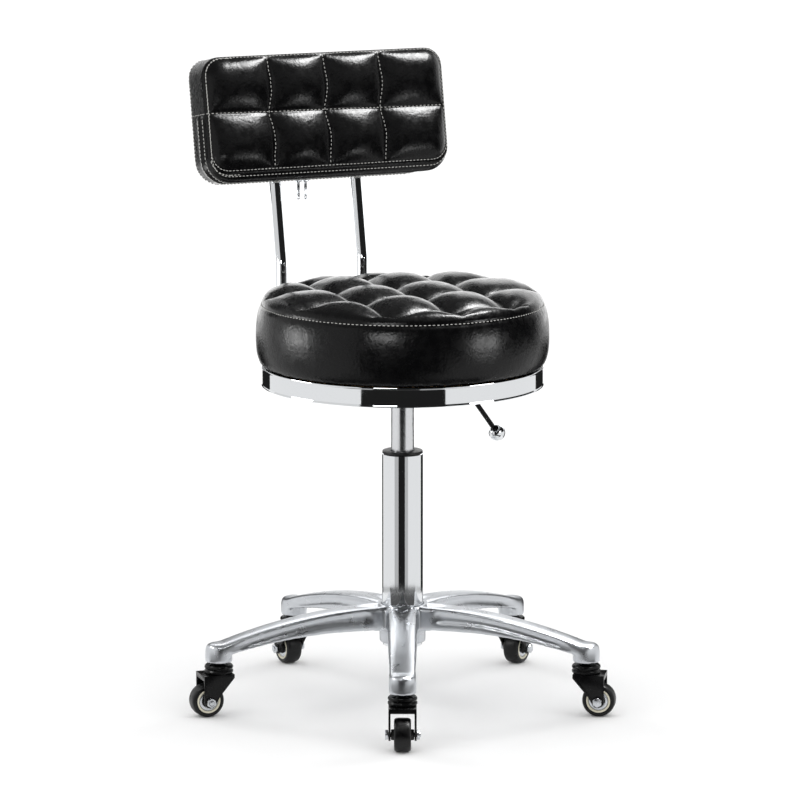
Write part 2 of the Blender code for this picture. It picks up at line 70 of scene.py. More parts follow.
camera_data = bpy.data.cameras.new("camera")
camera_data.lens = 208.2896
camera_data.sensor_width = 36
camera_data.shift_x = -0.00316
camera_data.clip_end = 200
camera = bpy.data.objects.new("camera", camera_data)
camera.location = AXIS + toward_camera * CAMERA_DISTANCE + Vector((0, 0, CAMERA_HEIGHT))
camera.rotation_euler = (math.radians(90) - CAMERA_PITCH, 0, CAMERA_AZIMUTH)
scene.collection.objects.link(camera)
scene.camera = camera

# ---------------------------------------------------------------- studio
# A pale floor in an even white surround. Bright and black panels stand round the stool,
# where only glossy surfaces see them, and give the chrome its bands and the leather its sheen.

scene.view_settings.view_transform = "Standard"


def linear(code):
    """A colour written as sRGB hex, turned to the linear values that a shader takes."""
    parts = [int(code[i:i + 2], 16) / 255 for i in (1, 3, 5)]
    return (*[c / 12.92 if c <= 0.04045 else ((c + 0.055) / 1.055) ** 2.4 for c in parts], 1.0)


def add(tree, kind, inputs=None, **settings):
    """One node with its settings. Each input is a constant or the output that feeds it."""
    made = tree.nodes.new(kind)
    for name, value in settings.items():
        setattr(made, name, value)
    for name, value in (inputs or {}).items():
        if isinstance(value, bpy.types.NodeSocket):
            tree.links.new(value, made.inputs[name])
        else:
            made.inputs[name].default_value = value
    return made


def glowing(name, strength):
    made = bpy.data.materials.new(name)
    made.use_nodes = True
    tree = made.node_tree
    tree.nodes.clear()
    glow = add(tree, "ShaderNodeEmission", {"Color": (1, 1, 1, 1), "Strength": strength})
    add(tree, "ShaderNodeOutputMaterial", {"Surface": glow.outputs["Emission"]})
    return made


def shader_of(name, colour, roughness, metallic=0.0, specular=0.5):
    """A material, its nodes and its shader, with the values that are the same all over."""
    made = bpy.data.materials.new(name)
    made.use_nodes = True
    shader = made.node_tree.nodes["Principled BSDF"]
    shader.inputs["Base Color"].default_value = linear(colour)
    shader.inputs["Roughness"].default_value = roughness
    shader.inputs["Metallic"].default_value = metallic
    shader.inputs["Specular IOR Level"].default_value = specular
    return made, made.node_tree, shader


def stage_mesh(name, bm, finish):
    mesh = bpy.data.meshes.new(name)
    bm.to_mesh(mesh)
    bm.free()
    mesh.materials.append(finish)
    made = bpy.data.objects.new(name, mesh)
    scene.collection.objects.link(made)
    return made


def glossy_only(made):
    """Leave a panel out of everything but mirror-like reflections."""
    made.visible_camera = False
    made.visible_diffuse = False
    made.visible_shadow = False
    made.visible_transmission = False
    made.visible_volume_scatter = False


def heading(azimuth):
    """A level direction, in degrees to the right of the camera as the camera sees it."""
    turn = math.radians(azimuth)
    return toward_camera * math.cos(turn) + camera_right * math.sin(turn)


SEAT_LEVEL = 0.48
WALL_R, WINDOW_R = 0.60, 0.58
WALL_FACET = 4


def card(name, azimuth, elevation, distance, width, height, strength):
    """A glowing panel that faces the seat."""
    rise = math.radians(elevation)
    place = AXIS + (heading(azimuth) * math.cos(rise) + Vector((0, 0, math.sin(rise)))) * distance
    place.z += SEAT_LEVEL
    bm = bmesh.new()
    bmesh.ops.create_grid(bm, x_segments=1, y_segments=1, size=0.5)
    facing = Vector((AXIS.x, AXIS.y, SEAT_LEVEL)) - place
    turn = facing.to_track_quat("Z", "Y").to_matrix().to_4x4()
    size = Matrix.Diagonal((width, height, 1, 1))
    bmesh.ops.transform(bm, matrix=Matrix.Translation(place) @ turn @ size, verts=bm.verts)
    glossy_only(stage_mesh(name, bm, glowing(name, strength)))


def wall(name, start, end, low, high, strength, radius=WALL_R):
    """An upright curved panel round the stool, between two headings."""
    steps = max(2, round(abs(end - start) / WALL_FACET))
    bm = bmesh.new()
    first = AXIS + heading(start) * radius
    ends = [bm.verts.new((first.x, first.y, z)) for z in (low, high)]
    edge = bm.edges.new(ends)
    bmesh.ops.spin(bm, geom=[*ends, edge], cent=AXIS, axis=(0, 0, 1), steps=steps,
                   angle=math.radians(end - start))
    glossy_only(stage_mesh(name, bm, glowing(name, strength)))


WHITE, PALE, GREY, BLACK = 0.95, 0.55, 0.10, 0.015
FOOT_BAND = (0.002, 0.010)
LOW_BAND = (0.010, 0.215)
HOOP_BAND = (0.215, 0.370)
POST_BAND = (0.370, 0.900)
wall("foot_left", -136, -75, *FOOT_BAND, PALE)
wall("foot_front", -75, 75, *FOOT_BAND, GREY)
wall("foot_right", 75, 122, *FOOT_BAND, PALE)
wall("low_left", -136, -44, *LOW_BAND, WHITE)
wall("low_left_shade", -44, -22, *LOW_BAND, PALE)
wall("low_front", -22, 13, *LOW_BAND, BLACK)
wall("low_right_shade", 13, 30, *LOW_BAND, PALE)
wall("low_right", 30, 122, *LOW_BAND, WHITE)
wall("low_edge_right", 122, 160, FOOT_BAND[0], LOW_BAND[1], BLACK)
wall("low_edge_left", -160, -136, FOOT_BAND[0], LOW_BAND[1], BLACK)
wall("hoop_left", -123, -29, *HOOP_BAND, WHITE)
wall("hoop_front", -29, 30, *HOOP_BAND, BLACK)
wall("hoop_right", 30, 124, *HOOP_BAND, WHITE)
wall("hoop_edge_right", 124, 150, *HOOP_BAND, BLACK)
wall("hoop_edge_left", -148, -123, *HOOP_BAND, BLACK)
wall("post_left", -112, -30, *POST_BAND, 0.80)
wall("side_dark", -152, -112, 0.56, POST_BAND[1], BLACK)
wall("post_dark", -30, 118, *POST_BAND, BLACK)
wall("back_bright", 130, 230, 0.42, 0.95, 2.4)
wall("window_left", -88, -68, 0.400, 0.530, 12, WINDOW_R)
wall("window_right", 48, 68, 0.400, 0.520, 9, WINDOW_R)
wall("window_front", -20, -4, 0.520, 0.600, 13, WINDOW_R)
card("sheen_right", 98, 62, 1.7, 0.75, 0.55, 58)


def floor_ring(name, start, end, inner, outer, strength):
    """A level panel just above the floor, for the undersides and low sides of the legs."""
    bm = bmesh.new()
    first = heading(start)
    lifted = Vector((0, 0, 0.0015))
    ends = [bm.verts.new(AXIS + first * reach + lifted) for reach in (inner, outer)]
    edge = bm.edges.new(ends)
    bmesh.ops.spin(bm, geom=[*ends, edge], cent=AXIS, axis=(0, 0, 1), steps=30,
                   angle=math.radians(end - start))
    glossy_only(stage_mesh(name, bm, glowing(name, strength)))


floor_ring("floor_shade", -75, 75, 0.34, WALL_R, GREY)

FLOOR_HALF = 60
BACKDROP = 0.93
floor_paint, _, _ = shader_of("studio_floor", "#FBFBFB", 0.9, specular=0.0)
floor_bm = bmesh.new()
bmesh.ops.create_grid(floor_bm, x_segments=1, y_segments=1, size=FLOOR_HALF)
stage_mesh("studio_floor", floor_bm, floor_paint)

world = bpy.data.worlds.new("studio")
world.use_nodes = True
scene.world = world
sky = world.node_tree
sky.nodes.clear()
light_path = add(sky, "ShaderNodeLightPath")
direction = add(sky, "ShaderNodeTexCoord")
climb = add(sky, "ShaderNodeSeparateXYZ", {"Vector": direction.outputs["Generated"]})
mirrored = add(sky, "ShaderNodeMapRange", {"Value": climb.outputs["Z"], "From Min": 0.10,
                                           "From Max": 0.42, "To Min": 0.95, "To Max": 0.28})
seen = add(sky, "ShaderNodeMix", {"Factor": light_path.outputs["Is Glossy Ray"], "A": BACKDROP,
                                  "B": mirrored.outputs["Result"]})
light = add(sky, "ShaderNodeBackground", {"Color": (1, 1, 1, 1), "Strength": seen.outputs["Result"]})
add(sky, "ShaderNodeOutputWorld", {"Surface": light.outputs["Background"]})


def sun(name, azimuth, elevation, spread, strength):
    """A broad, far light, which is as strong at the horizon as it is at the stool."""
    rise = math.radians(elevation)
    data = bpy.data.lights.new(name, "SUN")
    data.angle = math.radians(spread)
    data.energy = strength
    made = bpy.data.objects.new(name, data)
    away = heading(azimuth) * math.cos(rise) + Vector((0, 0, math.sin(rise)))
    made.rotation_euler = away.to_track_quat("Z", "Y").to_euler()
    made.visible_glossy = False
    scene.collection.objects.link(made)


sun("sun_right", 62, 55, 40, 0.28)
sun("sun_left", -70, 55, 40, 0.24)
sun("sun_back_right", 132, 24, 14, 0.42)
sun("sun_back_left", -132, 24, 14, 0.42)

# ---------------------------------------------------------------- star base
# One sand-cast aluminium spider, linished and polished. Each leg is an inverted channel with
# a crowned top, a recess along each side and a socket for a caster stem at its tip.

LEG_REACH = 0.2325
LEG_WALL = 0.0036
HUB_TOP = 0.1235
STAR_VOXEL, STAR_SMOOTHING = 0.0015, 12
leg_feet = [Vector(j["pos_m"]) for j in frame["joints"] if j["name"].startswith("caster_swivel")]


def smoothstep(low, high, value):
    t = min(1.0, max(0.0, (value - low) / (high - low)))
    return t * t * (3 - 2 * t)


def leg_ring(r):
    """The leg's outline across, at one distance from the column's axis."""
    half = 0.0187 - 0.0136 * (r - 0.025)
    top = 0.1225 - 0.8 * (r - 0.025) ** 2
    bottom = 0.094 - 0.85 * (r - 0.075) ** 2
    valley = 0.0050 * math.exp(-((r - 0.030) / 0.026) ** 2)
    flange = bottom + 0.0095 - 0.007 * smoothstep(0.09, 0.20, r)
    shelf = top - 0.0042
    depth = 0.0036 * smoothstep(0.042, 0.052, r) * (1 - smoothstep(0.195, 0.226, r))
    waist = half - depth
    core = waist - LEG_WALL
    side = [(0.28 * half, top - 0.55 * valley), (0.62 * half, top - 0.0004), (0.90 * half, top - 0.0018),
            (half, shelf), (waist, shelf - 0.0016), (waist, flange + 0.0014), (half, flange),
            (half, bottom), (core, bottom), (0.86 * core, top - 0.0110)]
    return [(0, top - valley), *side, *[(-y, z) for y, z in reversed(side)]]


def leg_solid(turn):
    bm = bmesh.new()
    rings = []
    for r in np.linspace(0.0275, LEG_REACH, 42):
        points = [bm.verts.new((r, y, z)) for y, z in leg_ring(r)]
        rings.append([bm.edges.new(pair) for pair in zip(points, points[1:] + points[:1])])
    for inner, outer in zip(rings, rings[1:]):
        bmesh.ops.bridge_loops(bm, edges=inner + outer)
    bmesh.ops.holes_fill(bm, edges=rings[0] + rings[-1])
    bmesh.ops.recalc_face_normals(bm, faces=bm.faces)
    bmesh.ops.rotate(bm, cent=(0, 0, 0), matrix=Matrix.Rotation(turn, 3, "Z"), verts=bm.verts)
    return bm


def spun(profile, steps, closed=True):
    """Turn (radius, height) points about Z."""
    bm = bmesh.new()
    points = [bm.verts.new((r, 0, z)) for r, z in profile]
    edges = [bm.edges.new(pair) for pair in zip(points, points[1:])]
    if closed:
        edges.append(bm.edges.new((points[-1], points[0])))
    bmesh.ops.spin(bm, geom=points + edges, cent=(0, 0, 0), axis=(0, 0, 1), angle=math.tau,
                   steps=steps, use_merge=True)
    bmesh.ops.remove_doubles(bm, verts=bm.verts, dist=1e-6)
    bmesh.ops.recalc_face_normals(bm, faces=bm.faces)
    return bm


def gather(target, source, matrix=Matrix.Identity(4)):
    """Put a copy of one bmesh into another, and free the first."""
    held = bpy.data.meshes.new("held")
    bmesh.ops.transform(source, matrix=matrix, verts=source.verts)
    source.to_mesh(held)
    source.free()
    target.from_mesh(held)
    bpy.data.meshes.remove(held)


def finished(name, bm, finish, body, replaced=(), sharp=35):
    """Make a piece of a bmesh that is already in place, and let it ride on its body."""
    mesh = bpy.data.meshes.new(name)
    bm.to_mesh(mesh)
    bm.free()
    mesh.shade_smooth()
    if sharp:
        mesh.set_sharp_from_angle(angle=math.radians(sharp))
    mesh.materials.clear()
    mesh.materials.append(finish)
    made = bpy.data.objects.new(name, mesh)
    scene.collection.objects.link(made)
    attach(made, body)
    if replaced:
        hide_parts(*replaced)
    return made


def applied(made):
    """Give a piece the mesh that its modifiers make, and drop them."""
    bpy.context.view_layer.update()
    graph = bpy.context.evaluated_depsgraph_get()
    mesh = bpy.data.meshes.new_from_object(made.evaluated_get(graph))
    made.modifiers.clear()
    made.data = mesh


def voxel_remesh(made, size):
    remesh = made.modifiers.new("remesh", "REMESH")
    remesh.mode = "VOXEL"
    remesh.voxel_size = size
    remesh.use_smooth_shade = True
    applied(made)


def grain(tree, millimetres, detail, stretch=(1, 1, 1)):
    """Noise in real millimetres on the piece itself, squeezed or stretched along its axes."""
    place = add(tree, "ShaderNodeTexCoord")
    mapped = add(tree, "ShaderNodeMapping", {"Vector": place.outputs["Object"], "Scale": stretch})
    return add(tree, "ShaderNodeTexNoise", {"Vector": mapped.outputs["Vector"], "Detail": detail,
                                            "Scale": 1000.0 / millimetres}).outputs["Fac"]


def uneven(tree, shader, source, low, high):
    """Roughness that noise moves between two values."""
    value = add(tree, "ShaderNodeMapRange", {"Value": source, "From Min": 0.3, "From Max": 0.7,
                                             "To Min": low, "To Max": high})
    tree.links.new(value.outputs["Result"], shader.inputs["Roughness"])


def relief(tree, shader, source, millimetres, strength=1.0):
    """Bump of a real height in millimetres."""
    bump = add(tree, "ShaderNodeBump", {"Height": source, "Distance": millimetres / 1000.0,
                                        "Strength": strength})
    tree.links.new(bump.outputs["Normal"], shader.inputs["Normal"])


def polished_cast_aluminium():
    """Cast aluminium buffed by hand: bright, softly blurred, with faint swells and clouds."""
    made, tree, shader = shader_of("polished_cast_aluminium", "#C9CCD0", 0.30, 1.0)
    uneven(tree, shader, grain(tree, 16, 3), 0.26, 0.34)
    relief(tree, shader, grain(tree, 12, 1), 0.05, 0.30)
    return made


aluminium = polished_cast_aluminium()
spider = bmesh.new()
hub = spun([(0.0257, 0.0745), (0.0275, 0.0738), (0.0282, 0.0750), (0.0282, 0.0905),
            (0.0320, 0.0935), (0.0326, 0.1130), (0.0308, 0.1190), (0.0288, 0.1232),
            (0.0272, HUB_TOP), (0.0257, HUB_TOP)], 96)
gather(spider, hub, Matrix.Translation(AXIS))
for foot in leg_feet:
    out = foot - AXIS
    gather(spider, leg_solid(math.atan2(out.y, out.x)), Matrix.Translation(AXIS))
    socket = spun([(0.0058, 0.0650), (0.0155, 0.0650), (0.0165, 0.0658), (0.0163, 0.0790),
                   (0.0158, 0.0838), (0.0138, 0.0872), (0.0100, 0.0888), (0, 0.0893), (0, 0.0832),
                   (0.0058, 0.0832)], 48)
    gather(spider, socket, Matrix.Translation((foot.x, foot.y, 0)))
star = finished("cast_star_base", spider, aluminium, "base", ["star_base"],
                sharp=0)
voxel_remesh(star, STAR_VOXEL)
soften = bmesh.new()
soften.from_mesh(star.data)
for _ in range(STAR_SMOOTHING):
    bmesh.ops.smooth_vert(soften, verts=soften.verts, factor=0.5, use_axis_x=True, use_axis_y=True,
                          use_axis_z=True)
soften.to_mesh(star.data)
soften.free()
star.data.shade_smooth()

# ---------------------------------------------------------------- column
# The outer tube is bright chromed steel pressed into the hub's taper. A black nylon guide
# sleeve sits in its mouth and carries the ground inner cylinder.


def chrome_plate():
    """Bright chrome: a near mirror, with only the faintest haze."""
    made, tree, shader = shader_of("chrome_plate", "#E2E4E6", 0.05, 1.0)
    uneven(tree, shader, grain(tree, 22, 2), 0.035, 0.075)
    return made


def ground_steel():
    """Hard-chromed rod, centreless ground: satin, with fine rings round it."""
    made, tree, shader = shader_of("ground_steel", "#D6D7D9", 0.22, 1.0)
    uneven(tree, shader, grain(tree, 2.5, 1, (0.05, 0.05, 1)), 0.19, 0.25)
    return made


def moulded_nylon():
    """Black nylon straight from the mould, with a fine matt spark-eroded texture."""
    made, tree, shader = shader_of("moulded_nylon", "#0B0B0C", 0.42, specular=0.3)
    uneven(tree, shader, grain(tree, 6, 3), 0.34, 0.50)
    relief(tree, shader, grain(tree, 0.9, 1), 0.03, 0.7)
    return made


def zinc_plate():
    """Bright zinc on steel fasteners: silver, a little milky."""
    made, tree, shader = shader_of("zinc_plate", "#C9CCD0", 0.24, 1.0)
    uneven(tree, shader, grain(tree, 3, 3), 0.16, 0.34)
    return made


chrome = chrome_plate()
satin = ground_steel()
nylon = moulded_nylon()
zinc = zinc_plate()
at_axis = Matrix.Translation(AXIS)


def placed(bm, matrix):
    bmesh.ops.transform(bm, matrix=matrix, verts=bm.verts)
    return bm


TUBE_R = (tube_high.x - tube_low.x) / 2
TUBE_WALL = 0.0018
TAPER_TOP = 0.1245
tube_profile = [(TUBE_R - 0.0006, tube_high.z), (TUBE_R, tube_high.z - 0.0006), (TUBE_R, TAPER_TOP),
                (0.0240, tube_low.z), (0.0044, tube_low.z), (0.0044, 0.0750), (0.0215, 0.0750),
                (TUBE_R - TUBE_WALL, TAPER_TOP), (TUBE_R - TUBE_WALL, tube_high.z)]
finished("outer_tube", placed(spun(tube_profile, 96), at_axis), chrome, "base",
         ["column_tube"])
sleeve_low, sleeve_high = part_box("guide_sleeve")
lip = sleeve_high.z
sleeve_profile = [(0.0145, sleeve_low.z), (0.0145, lip - 0.0008), (0.0153, lip), (0.0226, lip),
                  (0.0242, lip - 0.0005), (0.0245, lip - 0.0012), (0.0245, tube_high.z + 0.0003),
                  (0.0228, tube_high.z + 0.0003), (0.0228, sleeve_low.z)]
finished("nylon_guide_sleeve", placed(spun(sleeve_profile, 80), at_axis), nylon, "base",
         ["guide_sleeve"])

# ---------------------------------------------------------------- gas lift
# The inner cylinder slides and turns in the sleeve. Its tapered head is jammed in a pressed
# steel cone under the seat. The rod, its bearing and its clip stay with the column.

lift_low, lift_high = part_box("lift_cylinder")
cylinder = [(0.0140, lift_low.z + 0.001), (0.0140, lift_high.z - 0.018), (0.0132, lift_high.z),
            (0.0026, lift_high.z), (0.0026, lift_high.z - 0.010), (0.0125, lift_high.z - 0.010),
            (0.0125, lift_low.z + 0.008), (0.0054, lift_low.z + 0.008), (0.0054, lift_low.z),
            (0.0130, lift_low.z)]
finished("inner_cylinder", placed(spun(cylinder, 80), at_axis), satin, "seat",
         ["lift_cylinder"])


def coated_steel():
    """Pressed steel under gloss black coating, with a slight orange-peel skin."""
    made, tree, shader = shader_of("black_coated_steel", "#060607", 0.24, specular=0.2)
    uneven(tree, shader, grain(tree, 8, 2), 0.18, 0.32)
    relief(tree, shader, grain(tree, 1.6, 1), 0.02, 0.6)
    return made


black_steel = coated_steel()


def repaint(name, finish):
    """Give a CAD node that keeps its shape a better material."""
    frame["nodes"][name].data.materials.clear()
    frame["nodes"][name].data.materials.append(finish)


socket_low, socket_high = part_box("lift_socket")
cone = [(0.0143, socket_low.z), (0.0143, socket_high.z), (0.0205, socket_high.z),
        (0.0205, socket_high.z - 0.0030), (0.0180, socket_high.z - 0.0040),
        (0.0171, socket_low.z + 0.0006), (0.0165, socket_low.z)]
finished("lift_cone", placed(spun(cone, 72), at_axis), satin, "seat", ["lift_socket"])
for name in ("piston_rod", "valve_pin", "lever_pin", "thrust_bearing", "thrust_washer"):
    repaint(name, zinc)
repaint("retaining_clip", black_steel)

# ---------------------------------------------------------------- casters
# Five swivel casters. Each has a stamped black fork under a double raceway, a polyurethane
# tread on a nylon wheel with ivory rings and zinc caps, and a zinc plated bolt and nut.


def polyurethane_tread():
    """Cast black polyurethane, lightly scuffed by the floor."""
    made, tree, shader = shader_of("polyurethane_tread", "#050506", 0.30, specular=0.3)
    uneven(tree, shader, grain(tree, 7, 4), 0.26, 0.50)
    relief(tree, shader, grain(tree, 1.4, 2), 0.03, 0.6)
    return made


def ivory_ring():
    """Unpigmented nylon, a warm off-white."""
    made, tree, shader = shader_of("ivory_nylon", "#DDD8C4", 0.38)
    uneven(tree, shader, grain(tree, 5, 2), 0.30, 0.46)
    return made


tread_paint = polyurethane_tread()
ivory = ivory_ring()


def ease(bm, edges, width, segments, clamp=False):
    """Round some edges off."""
    bmesh.ops.bevel(bm, geom=edges, offset=width, segments=segments, profile=0.5, affect="EDGES",
                    clamp_overlap=clamp, material=-1)


def rounded_copy(node, width):
    """The CAD node's own shape with its edges eased, as a stamping's or a bolt's are."""
    bm = bmesh.new()
    bm.from_mesh(frame["nodes"][node].data)
    bmesh.ops.remove_doubles(bm, verts=bm.verts, dist=1e-5)
    bmesh.ops.dissolve_limit(bm, angle_limit=math.radians(4), verts=bm.verts, edges=bm.edges)
    crisp = [e for e in bm.edges
             if len(e.link_faces) == 2 and e.calc_face_angle(0) > math.radians(30)]
    ease(bm, crisp, width, 2, clamp=True)
    return bm


lying = Matrix.Rotation(math.radians(-90), 4, "X")
for number, foot in enumerate(leg_feet, 1):
    spin = next(j for j in frame["joints"] if j["name"] == f"wheel_spin_{number}")
    axle = Vector(spin["pos_m"])
    ahead = Vector((axle.x - foot.x, axle.y - foot.y, 0)).normalized()
    turn = Matrix.Rotation(math.atan2(ahead.y, ahead.x), 4, "Z")
    at_axle = Matrix.Translation(axle) @ turn @ lying
    wheel = f"wheel_{number}"
    tyre = [(0.0147, -0.0098), (0.0163, -0.0100), (0.0180, -0.0097), (0.0191, -0.0087),
            (0.0197, -0.0070), (0.0200, -0.0045), (0.0200, 0.0045), (0.0197, 0.0070),
            (0.0191, 0.0087), (0.0180, 0.0097), (0.0163, 0.0100), (0.0147, 0.0098)]
    finished(f"tread_{number}", placed(spun(tyre, 64), at_axle), tread_paint, wheel,
             [f"tyre_{number}"])
    core = [(0.0032, -0.0136), (0.0058, -0.0136), (0.0062, -0.0130), (0.0068, -0.0086), (0.0092, -0.0080),
            (0.0143, -0.0080), (0.0143, 0.0080), (0.0092, 0.0080), (0.0068, 0.0086), (0.0062, 0.0130),
            (0.0058, 0.0136), (0.0032, 0.0136)]
    finished(f"wheel_hub_{number}", placed(spun(core, 48), at_axle), nylon, wheel,
             [f"wheel_core_{number}"])
    for side, mark in ((-1, "a"), (1, "b")):
        ring = [(0.0119, side * 0.0078), (0.0121, side * 0.0094), (0.0128, side * 0.0100),
                (0.0140, side * 0.0100), (0.0146, side * 0.0094), (0.0146, side * 0.0078)]
        finished(f"ivory_ring_{number}{mark}", placed(spun(ring, 56), at_axle), ivory, wheel)
        dish = [(0.0072, side * 0.0078), (0.0074, side * 0.0090), (0.0094, side * 0.0095),
                (0.0114, side * 0.0088), (0.0118, side * 0.0078)]
        finished(f"bearing_cap_{number}{mark}", placed(spun(dish, 48), at_axle), zinc, wheel)
    swivel = f"swivel_{number}"
    finished(f"stamped_fork_{number}", rounded_copy(f"fork_{number}", 0.0007), black_steel, swivel,
             [f"fork_{number}"])
    for part in ("axle_bolt", "axle_nut"):
        finished(f"eased_{part}_{number}", rounded_copy(f"{part}_{number}", 0.0005), zinc, swivel,
                 [f"{part}_{number}"])
    stem = [(0, 0.0462), (0.0058, 0.0462), (0.0065, 0.0470), (0.0064, 0.0492), (0.0040, 0.0497),
            (0.0040, 0.0530), (0.0166, 0.0530), (0.0174, 0.0538), (0.0174, 0.0556),
            (0.0166, 0.0566), (0.0160, 0.0573), (0.0160, 0.0577), (0.0168, 0.0585),
            (0.0174, 0.0596), (0.0172, 0.0612), (0.0160, 0.0626), (0.0052, 0.0640),
            (0.0050, 0.0830), (0, 0.0830)]
    at_foot = Matrix.Translation((foot.x, foot.y, 0))
    finished(f"raceway_{number}", placed(spun(stem, 56, closed=False), at_foot), black_steel, "base",
             [f"caster_stem_{number}"])

# ---------------------------------------------------------------- seat mechanism and lever
# A pressed pan bolted up into the seat board. The bent lever pivots in it on a cross pin and
# presses the gas lift's valve. Its chromed ball is the sitter's grip.

finished("mechanism_pan", rounded_copy("mechanism_plate", 0.0006), black_steel, "seat",
         ["mechanism_plate"])
finished("post_channel", rounded_copy("post_bracket", 0.0006), black_steel, "seat",
         ["post_bracket"])
for name in [f"plate_bolt_{n}" for n in range(1, 5)] + ["bracket_bolt_1", "bracket_bolt_2"]:
    finished(f"eased_{name}", rounded_copy(name, 0.0005), zinc, "seat", [name])


def bent_bar(path, radius, sides):
    """A round bar along a path, its ends closed."""
    bm = bmesh.new()
    rings = []
    across = None
    for i, place in enumerate(path):
        along = (path[min(i + 1, len(path) - 1)] - path[max(i - 1, 0)]).normalized()
        across = across - along * across.dot(along) if across else along.orthogonal()
        across.normalize()
        basis = Matrix((across, along.cross(across), along)).transposed().to_4x4()
        made = bmesh.ops.create_circle(bm, segments=sides, radius=radius,
                                       matrix=Matrix.Translation(place) @ basis)
        rings.append(list({e for v in made["verts"] for e in v.link_edges}))
    for first, second in zip(rings, rings[1:]):
        bmesh.ops.bridge_loops(bm, edges=first + second)
    bmesh.ops.holes_fill(bm, edges=rings[0] + rings[-1])
    bmesh.ops.recalc_face_normals(bm, faces=bm.faces)
    return bm


def bends(corners, radius, steps=12):
    """Round the inner corners of a bar's centreline."""
    path = [corners[0]]
    for before, corner, after in zip(corners, corners[1:], corners[2:]):
        inward = (before - corner).normalized()
        onward = (after - corner).normalized()
        half = inward.angle(onward) / 2
        reach = radius / math.tan(half)
        centre = corner + (inward + onward).normalized() * (radius / math.sin(half))
        start = corner + inward * reach - centre
        normal = start.cross(corner + onward * reach - centre).normalized()
        for i in range(steps + 1):
            path.append(centre + Matrix.Rotation((math.pi - 2 * half) * i / steps, 3, normal) @ start)
    path.append(corners[-1])
    return path


lever_joint = next(j for j in frame["joints"] if j["name"] == "lever_lift")
pivot = Vector(lever_joint["pos_m"])
ball_low, ball_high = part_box("lever_ball")
ball = (ball_low + ball_high) / 2
LEVER_SLOPE = math.radians(54)
elbow = Vector((ball.x - (pivot.z - ball.z) / math.tan(LEVER_SLOPE), pivot.y, pivot.z))
lever_path = bends([pivot - Vector((0.028, 0, 0)), elbow, ball], 0.012)
finished("lever_bar", bent_bar(lever_path, 0.003, 20), black_steel, "lever", ["lever_rod"])
knob = bmesh.new()
bmesh.ops.create_uvsphere(knob, u_segments=40, v_segments=24, radius=0.0104,
                          matrix=Matrix.Translation(ball))
finished("lever_knob", knob, chrome, "lever", ["lever_ball"])

# ---------------------------------------------------------------- seat board and hoop
# A plywood disc carries the cushion. A rolled steel hoop, polished to a mirror and folded in
# at its rims, goes round under it.


def plywood_face():
    """Birch plywood, its long grain running along X between pale and brown."""
    made, tree, shader = shader_of("birch_plywood", "#B98F5E", 0.62)
    veins = grain(tree, 5, 4, (0.08, 1, 0.4))
    ramp = add(tree, "ShaderNodeValToRGB", {"Fac": veins})
    ramp.color_ramp.elements[0].color = linear("#8F6A40")
    ramp.color_ramp.elements[1].color = linear("#C9A273")
    tree.links.new(ramp.outputs["Color"], shader.inputs["Base Color"])
    relief(tree, shader, veins, 0.10, 0.6)
    return made


plywood = plywood_face()
repaint("seat_board", plywood)
repaint("back_board", plywood)


def dust_cloth_felt():
    """Black non-woven dust cloth, matt and a little fluffy."""
    made, tree, shader = shader_of("black_dust_cloth", "#0A0A0A", 0.95, specular=0.1)
    relief(tree, shader, grain(tree, 1.5, 3), 0.15, 0.8)
    return made


under_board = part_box("seat_board")[0].z - 0.00023
CLOTH_R, CLOTH_THICK = 0.1585, 0.0002
cloth_sheet = [(0, under_board), (CLOTH_R, under_board), (CLOTH_R, under_board + CLOTH_THICK),
               (0, under_board + CLOTH_THICK)]
finished("dust_cloth", placed(spun(cloth_sheet, 72, closed=False), at_axis), dust_cloth_felt(),
         "seat")

hoop_low, hoop_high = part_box("seat_ring")
HOOP_R = (hoop_high.x - hoop_low.x) / 2
low, high = hoop_low.z, hoop_high.z
hoop = [(HOOP_R - 0.0016, low + 0.0006), (HOOP_R - 0.0010, low), (HOOP_R - 0.0002, low + 0.0003),
        (HOOP_R, low + 0.0011), (HOOP_R - 0.0006, low + 0.0022), (HOOP_R - 0.0007, low + 0.0028),
        (HOOP_R - 0.0007, low + 0.0034), (HOOP_R - 0.0007, high - 0.0034),
        (HOOP_R - 0.0007, high - 0.0028), (HOOP_R - 0.0006, high - 0.0022),
        (HOOP_R, high - 0.0012), (HOOP_R - 0.0003, high - 0.0003), (HOOP_R - 0.0012, high),
        (0.1500, high), (0.1500, high - 0.0016), (HOOP_R - 0.0023, high - 0.0016)]
finished("polished_hoop", placed(spun(hoop, 180), at_axis), chrome, "seat",
         ["seat_ring"], sharp=50)

# ---------------------------------------------------------------- seat cushion
# Foam under glossy black synthetic leather. Seams pull the top down on a square grid, so that
# each panel stands up as a pillow, and a stitched seam joins the top to the upright band.

SEAM_X = (-0.078, 0.0, 0.078)
SEAM_Y = (-0.130, -0.044, 0.044, 0.130)
RIM_R = 0.1700
RIM_Z = 0.4905
SEAT_VOXEL, SEAT_PRESSURE, SEAT_SWELL = 0.0046, 4.0, 0.0050
SEAT_PILLOW = 0.0135
CLOTH_FRAMES = 20


def coordinates(mesh):
    flat = np.empty(len(mesh.vertices) * 3)
    mesh.vertices.foreach_get("co", flat)
    return flat.reshape(-1, 3)


def set_coordinates(mesh, points):
    mesh.vertices.foreach_set("co", np.ascontiguousarray(points, dtype=np.float64).reshape(-1))
    mesh.update()


def nearest_line(values, lines):
    """The distance from each value to the nearest of some lines."""
    return np.min(np.abs(values[:, None] - np.array(lines)[None, :]), axis=1)


def fade(values, low, high):
    t = np.clip((values - low) / (high - low), 0, 1)
    return t * t * (3 - 2 * t)


def pillow(distance, width):
    """How full a panel is at a distance from its seam: 0 on the seam, 1 well inside."""
    return 1 - np.exp(-(np.maximum(distance, 0) / width) ** 1.25)


